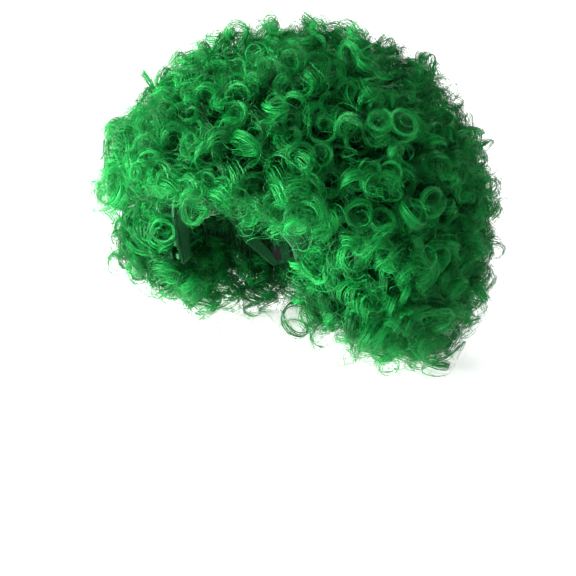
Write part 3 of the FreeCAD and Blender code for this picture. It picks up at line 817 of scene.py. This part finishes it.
def cap_net(material):
    """The net: hexagons of knitted thread, as the dual of a geodesic sphere, trimmed at the hem."""
    mesh = bmesh.new()
    bmesh.ops.create_icosphere(mesh, subdivisions=6, radius=1.0)
    mesh.faces.ensure_lookup_table()
    centres = np.array([face.calc_center_median() for face in mesh.faces])
    ends = np.array([[face.index for face in edge.link_faces] for edge in mesh.edges])
    mesh.free()
    half = HEAD + 1.9
    centres = moved_onto(centres, half)
    kept = inside_outline(CAP_HEM, centres)
    ends = ends[kept[ends].all(axis=1)]
    paths = centres[ends]
    strands = {"paths": paths, "out": unit(paths / half ** 2)}
    group = strand_group(strands, 0.24, 0.2, rng.random(len(paths)), tapered=False)
    dress(strand_mesh("cap_net_mesh", [group], material), "net", "cap_net")


def padded_patch(name, outline, side, base, thickness, material):
    """A padded patch on the side of the head: crowned, thin at its edge, with a sewn groove."""
    rim = closed(outline)
    ring = along_line(rim, PATCH_CELL)[:-1]
    across, up = (np.arange(*ends, PATCH_CELL) for ends in zip(outline.min(axis=0), outline.max(axis=0)))
    grid = np.stack(np.meshgrid(across, up), -1).reshape(-1, 2)
    grid = grid[inside_outline(outline, grid) & (distance_to_line(rim, grid) > 0.8)]
    verts = [tuple(p) for p in np.vstack([ring, grid])]
    edges = [(i, (i + 1) % len(ring)) for i in range(len(ring))]
    made, _, faces, _, _, _ = delaunay_2d_cdt(verts, edges, [], 1, 1e-4)
    made = np.array([tuple(p) for p in made])
    gap = distance_to_line(rim, made)
    full = smooth_step(-0.6, PATCH_RIM, gap) * (1 - 0.5 * np.exp(-((gap - PATCH_RIM) / 0.45) ** 2))
    points = on_head(made[:, 0], made[:, 1], base + thickness / 2, side)
    rise = out_of_head(points) * (full * thickness / 2)[:, None]
    points = np.vstack([points + rise, points - rise]) * MM
    count = len(made)
    polygons = [tuple(f) for f in faces] + [tuple(count + i for i in reversed(f)) for f in faces]
    used = dict.fromkeys(edge for face in faces for edge in zip(face, list(face[1:]) + [face[0]]))
    polygons += [(b, a, count + a, count + b) for a, b in used if (b, a) not in used]
    mesh = bpy.data.meshes.new(name)
    mesh.from_pydata([tuple(p) for p in points], [], polygons)
    fix = bmesh.new()
    fix.from_mesh(mesh)
    bmesh.ops.recalc_face_normals(fix, faces=fix.faces)
    fix.to_mesh(mesh)
    fix.free()
    mesh.shade_smooth()
    mesh.materials.append(material)
    return new_object(name, mesh)


def inset(outline, margin):
    """A closed line inside an outline, at a margin from it."""
    rim = closed(outline)
    line = along_line(rim, 0.5)
    run = np.gradient(line, axis=0)
    square = unit(np.stack([-run[:, 1], run[:, 0]], axis=-1)) * margin
    if inside_outline(outline, line + square).mean() < 0.5:
        square = -square
    moved = line + square
    return closed(moved[distance_to_line(rim, moved) > margin * 0.93])


def both_sides(line, offset):
    """A line of the side view on both sides of the head."""
    return [on_head(line[:, 0], line[:, 1], offset, side) for side in (-1, 1)]


def brow_line(side_line, level, offset):
    """One line over the forehead: down the right side, level across the front, down the left."""
    side_line = along_line(np.array(side_line, float), 1.0)
    right, left = both_sides(side_line, offset)
    x = np.linspace(right[-1, 0], left[-1, 0], 40)[1:-1]
    return np.vstack([right, on_brow(x, np.full(len(x), float(level)), offset), left[::-1]])


def cap_stitching(material):
    """Rows of stitches on the tapes, the bindings, the ear tabs and the nape band, seen from inside."""
    lines = [brow_line(side_line, level, 0) for side_line, level in BROW_STITCHES]
    for corners in BINDING_STITCHES:
        lines += both_sides(along_line(np.array(corners, float), 1.0), 0)
    lines += both_sides(inset(EAR_TAB, 2.2), -0.1)
    groups = [stitch_group(line, out_of_head) for line in lines]

    def out_of_nape(points):
        away = points - np.array([0, NAPE_Y, 0])
        away[:, 2] = 0
        return unit(away)

    angles = np.linspace(-64, 64, 120)
    for level in (-59.7, -44.8):
        groups.append(stitch_group(on_nape(57.0, angles, np.full(120, level)), out_of_nape))
    for angle in (-61.2, -54.8, 54.8, 61.2):
        level = np.linspace(-59.3, -45.7, 30)
        groups.append(stitch_group(on_nape(52.6, np.full(30, angle), level), out_of_nape))
    dress(strand_mesh("cap_stitching", groups, material), "tape")


def hook_and_loop(name, body, outer, tips, radius, angles, levels, pitch, material, slot):
    """The small hooks or loops that stand on a tape, in staggered rows, as high as outer says."""
    step = math.degrees(pitch / radius)
    across, up = np.arange(*angles, step), np.arange(*levels, pitch)
    angle, level = np.meshgrid(across, up)
    angle = (angle + (np.arange(len(up)) % 2)[:, None] * step / 2).ravel()
    level = level.ravel() + rng.normal(0, pitch * 0.12, level.size)
    angle = angle + rng.normal(0, pitch * 0.12 / radius * DEGREES, angle.size)
    share = np.linspace(0, 1, 7)
    lean = rng.choice([-1, 1], len(angle))[:, None] * outer * np.sin(share * np.pi * 0.5 * tips) * 0.8
    rise = outer * np.sin(share * np.pi * 0.62 * tips)[None, :]
    turn = angle[:, None] + np.degrees(lean / radius)
    paths = on_nape(radius + rise, turn, level[:, None] + 0 * turn)
    strands = {"paths": paths, "out": unit(paths - np.array([0, NAPE_Y, 0]))}
    group = strand_group(strands, 0.06, 0.045, rng.random(len(paths)), tapered=False)
    dress(strand_mesh(name, [group], material), slot, body=body)


def cloth(name, base, gap, pitch, style, centre_y=0.0, radius=80.0, roughness=0.75, bump=0.4):
    """A woven or knitted material laid round a vertical axis: plain, twill or rib."""
    nodes = Nodes(name)
    place = nodes.place()
    axes = nodes.add("ShaderNodeSeparateXYZ", {"Vector": place}).outputs
    angle = nodes.maths("ARCTAN2", axes["X"], nodes.maths("SUBTRACT", axes["Y"], centre_y * MM))
    turn = nodes.times(angle, radius / pitch * 2 * math.pi)
    up = nodes.times(axes["Z"], 2 * math.pi / (pitch * MM))
    rows = nodes.sine(nodes.plus(turn, up) if style == "twill" else turn)
    if style == "plain":
        height = nodes.times(rows, nodes.sine(up))
    else:
        fine = nodes.times(up, 2.0)
        fine = nodes.sine(nodes.maths("SUBTRACT", turn, fine) if style == "twill" else fine)
        height = nodes.plus(rows, nodes.times(fine, 0.35 if style == "twill" else 0.3))
    mix = nodes.plus(nodes.times(height, 0.28), nodes.noise(45.0, 4.0, place))
    colour = nodes.ramp(mix, [(0.25, gap), (0.6, base), (0.9, tuple(min(1, c * 1.35) for c in base))])
    return nodes.set(Base_Color=colour, Normal=nodes.bump(height, bump, 0.0003), Roughness=roughness,
                     Specular_IOR_Level=0.2)


def weft_material():
    """Rows of machine stitches round the crown axis, over bundled fibre."""
    nodes = Nodes("stitched_weft")
    place = nodes.place()
    dots = [nodes.add("ShaderNodeVectorMath", {0: place, 1: tuple(axis)}, operation="DOT_PRODUCT")
            for axis in (CROWN, ACROSS, BEHIND)]
    from_crown, across, behind = (dot.outputs["Value"] for dot in dots)
    stitch = nodes.sine(nodes.times(nodes.maths("ARCTAN2", behind, across), 260.0))
    level = nodes.sine(nodes.times(from_crown, 2 * math.pi / 0.0017))
    height = nodes.times(stitch, level)
    mix = nodes.plus(nodes.times(height, 0.25), nodes.noise(500.0, 3.0, place))
    colour = nodes.ramp(mix, [(0.25, (0.003, 0.05, 0.012)), (0.55, (0.006, 0.12, 0.03)),
                              (0.85, (0.02, 0.22, 0.055))])
    return nodes.set(Base_Color=colour, Normal=nodes.bump(height, 0.5, 0.0005), Roughness=0.6,
                     Specular_IOR_Level=0.2)


def moulded(name, colour, roughness):
    """Moulded plastic with a faint grain."""
    nodes = Nodes(name)
    grain = nodes.noise(900.0, 2.0, nodes.place())
    shade = nodes.ramp(grain, [(0.3, tuple(c * 0.85 for c in colour)), (0.7, colour)])
    return nodes.set(Base_Color=shade, Normal=nodes.bump(grain, 0.15, 0.0001), Roughness=roughness)


def thread_material(name, dark, light, roughness=0.5):
    """Spun thread: each length a slightly different shade, by its tone attribute."""
    nodes = Nodes(name)
    mix = nodes.plus(nodes.times(nodes.attribute("tone"), 0.5),
                     nodes.times(nodes.noise(1500.0, 2.0, nodes.place()), 0.5))
    return nodes.set(Base_Color=nodes.ramp(mix, [(0.25, dark), (0.75, light)]), Roughness=roughness)


def label_piece():
    """The blank satin label, sewn flat to the net at the back. Gives the stitches round its edge."""
    x, up = np.meshgrid(np.linspace(-LABEL_WIDTH / 2, LABEL_WIDTH / 2, 41), np.linspace(0, LABEL_HEIGHT, 21))
    half = HEAD + LABEL_OFFSET
    centre = np.array([0, half[1] * math.sqrt(1 - (LABEL_LEVEL / half[2]) ** 2), LABEL_LEVEL])
    rise = np.cross(ACROSS, out_of_head(centre))
    rise = rise if rise[2] > 0 else -rise
    flat = centre + x[..., None] * ACROSS + (up - LABEL_HEIGHT / 2)[..., None] * rise
    points = moved_onto(flat, half)
    ripple = 0.12 * np.sin(x * 0.55) * np.sin(up / LABEL_HEIGHT * math.pi) + 0.06 * np.sin(x * 1.3 + up)
    points = points - out_of_head(points) * ripple[..., None]
    index = np.arange(x.size).reshape(x.shape)
    quads = np.stack([index[:-1, :-1], index[:-1, 1:], index[1:, 1:], index[1:, :-1]], axis=-1).reshape(-1, 4)
    mesh = bpy.data.meshes.new("blank_label")
    mesh.from_pydata([tuple(p) for p in points.reshape(-1, 3) * MM], [], [tuple(q) for q in quads])
    piece = new_object("blank_label", mesh)
    thick = piece.modifiers.new("thick", "SOLIDIFY")
    thick.thickness = 0.25 * MM
    thick.offset = 0
    graph = bpy.context.evaluated_depsgraph_get()
    piece.data = bpy.data.meshes.new_from_object(piece.evaluated_get(graph))
    piece.modifiers.clear()
    piece.data.name = "blank_label"
    piece.data.shade_smooth()
    piece.data.materials.append(cloth("satin_label", (0.5, 0.5, 0.48), (0.4, 0.4, 0.38), 0.35, "plain",
                                      roughness=0.38, bump=0.15))
    dress(piece, "label", "label")
    edge = np.vstack([points[1, 1:-1], points[1:-1, -2], points[-2, -2:0:-1], points[-2:0:-1, 1]])
    return stitch_group(along_line(edge, 0.5), out_of_head)


def paint(material, *beginnings):
    """Give carried-over CAD nodes a material, by how their names begin."""
    for name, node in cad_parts.items():
        if name.startswith(beginnings):
            node.data.materials.clear()
            node.data.materials.append(material)


def line_cap():
    """Everything under the hair: the net, the ear tabs, the stitching, the tapes and the materials."""
    thread = thread_material("sewing_thread", (0.01, 0.14, 0.04), (0.03, 0.28, 0.09))
    cap_net(thread_material("net_thread", (0.008, 0.075, 0.025), (0.02, 0.16, 0.06), 0.6))
    tab_cloth = cloth("brushed_tab_cloth", (0.012, 0.13, 0.04), (0.005, 0.065, 0.02), 1.1, "twill")
    for side, name in ((1, "left"), (-1, "right")):
        pad = padded_patch(f"ear_tab_pad_{name}", EAR_TAB, side, 0.0, 1.3, tab_cloth)
        dress(pad, "tape", f"ear_tab_{name}")
        pocket = padded_patch(f"stay_pocket_{name}", STAY_POCKET, side, -1.8, 2.0, tab_cloth)
        dress(pocket, "tape")
    cap_stitching(thread)
    label_thread = thread_material("label_thread", (0.36, 0.36, 0.34), (0.5, 0.5, 0.48))
    dress(strand_mesh("label_stitching", [label_piece()], label_thread), "label")
    hooks = thread_material("hook_nylon", (0.02,) * 3, (0.09,) * 3, 0.35)
    loops = thread_material("loop_nylon", (0.03,) * 3, (0.12,) * 3, 0.7)
    for side, name in ((1, "left"), (-1, "right")):
        hook_and_loop(f"hooks_{name}", f"tab_{name}", 0.12, 1.0, 55.7, sorted((side * 17.8, side * 33.0)),
                      (-56.6, -48.4), 1.0, hooks, "hook_tape")
        hook_and_loop(f"loops_{name}", "root", -0.07, 1.6, 56.0, sorted((side * 1.4, side * 43.6)),
                      (-58.6, -46.4), 0.9, loops, "loop_tape")
    paint(cloth("cotton_tape", (0.014, 0.15, 0.045), (0.006, 0.075, 0.022), 0.9, "twill"),
          "front_hairline_tape", "crown_patch", "side_binding")
    paint(cloth("ribbed_elastic", (0.012, 0.13, 0.04), (0.004, 0.045, 0.015), 1.3, "rib", NAPE_Y, 57.0),
          "nape_band", "strap_sleeve")
    paint(cloth("strap_webbing", (0.045,) * 3, (0.012,) * 3, 1.2, "plain", NAPE_Y, 54.0, 0.6),
          "adjuster_strap", "hook_tab_")
    paint(moulded("hook_tape_base", (0.05,) * 3, 0.5), "hook_tape")
    paint(cloth("loop_tape_base", (0.06,) * 3, (0.02,) * 3, 0.7, "plain", NAPE_Y, 56.0, 0.9), "loop_tape")
    paint(moulded("stay_plastic", (0.8, 0.8, 0.77), 0.45), "ear_tab_stay")
    paint(weft_material(), "weft_track", "ear_tab_wefts")


def area_light(name, place, size, power, colour=(1, 1, 1)):
    data = bpy.data.lights.new(name, "AREA")
    data.shape = "DISK"
    data.size = size
    data.energy = power
    data.color = colour
    lamp = new_object(name, data)
    lamp.location = place
    aim(lamp, (0, 0, 0))


def aim(thing, target):
    """Turn a camera or lamp to look at a place."""
    away = np.array(thing.location) - np.array(target)
    flat = math.hypot(away[0], away[1])
    thing.rotation_euler = (math.atan2(flat, away[2]), 0, math.atan2(away[0], -away[1]))


def around(azimuth, elevation, distance):
    """A place at a direction from the origin; azimuth 0 is in front of the face, 90 at the left."""
    a, e = math.radians(azimuth), math.radians(elevation)
    level = distance * math.cos(e)
    return level * math.sin(a), -level * math.cos(a), distance * math.sin(e)


def stage_piece(name, dark, light, **values):
    """Give the mesh that was just added a faintly mottled material, and keep it out of the wig."""
    nodes = Nodes(f"pale_{name}")
    colour = nodes.ramp(nodes.noise(60.0, 3.0), [(0.3, (dark,) * 3), (0.7, (light,) * 3)])
    nodes.set(Base_Color=colour, **values)
    piece = bpy.context.object
    piece.name = name
    piece.data.materials.append(nodes.material)
    piece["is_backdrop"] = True
    return piece


def studio(lowest):
    """A pale floor and backdrop, a strong light from the camera's left, and a soft fill."""
    bpy.ops.mesh.primitive_plane_add(size=12, location=(0, 0, lowest))
    stage_piece("floor", 0.86, 0.9, Roughness=0.6, Emission_Color=(1, 1, 1, 1), Emission_Strength=0.6)
    bpy.ops.mesh.primitive_uv_sphere_add(segments=48, ring_count=24, radius=5.5)
    dome = stage_piece("backdrop", 0.0, 0.01, Emission_Color=(0.97, 0.98, 1.0, 1), Emission_Strength=0.92)
    dome.visible_diffuse = dome.visible_glossy = dome.visible_shadow = False
    world = bpy.data.worlds.new("studio")
    world.use_nodes = True
    background = world.node_tree.nodes["Background"].inputs
    background["Color"].default_value = (0.97, 0.98, 1.0, 1)
    background["Strength"].default_value = 0.38
    bpy.context.scene.world = world
    bpy.context.scene.view_settings.view_transform = "Standard"
    area_light("key", around(-27, 12, 1.8), 1.0, 112, (1.0, 0.98, 0.95))
    area_light("low", around(0, 6, 1.5), 0.6, 11)
    area_light("top", around(-20, 62, 2.0), 1.0, 11)
    area_light("back", around(215, 52, 2.2), 1.2, 24)


def camera():
    """The photograph's viewing angle and framing: the wig is above the middle of the picture."""
    data = bpy.data.cameras.new("camera")
    data.lens = PHOTO_LENS
    data.sensor_width = 36
    shot = new_object("camera", data)
    shot.location = around(PHOTO_AZIMUTH, PHOTO_ELEVATION, PHOTO_DISTANCE)
    right = np.array(around(PHOTO_AZIMUTH + 90, 0, 1))
    up = np.array(around(PHOTO_AZIMUTH + 180, 90 - PHOTO_ELEVATION, 1))
    aim(shot, right * AIM_RIGHT - up * AIM_BELOW)
    bpy.context.scene.camera = shot


grow_hair()
line_cap()
bpy.context.view_layer.update()
studio(min(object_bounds()[0][2], REST_LEVEL * MM) - FLOOR_GAP * MM)
camera()
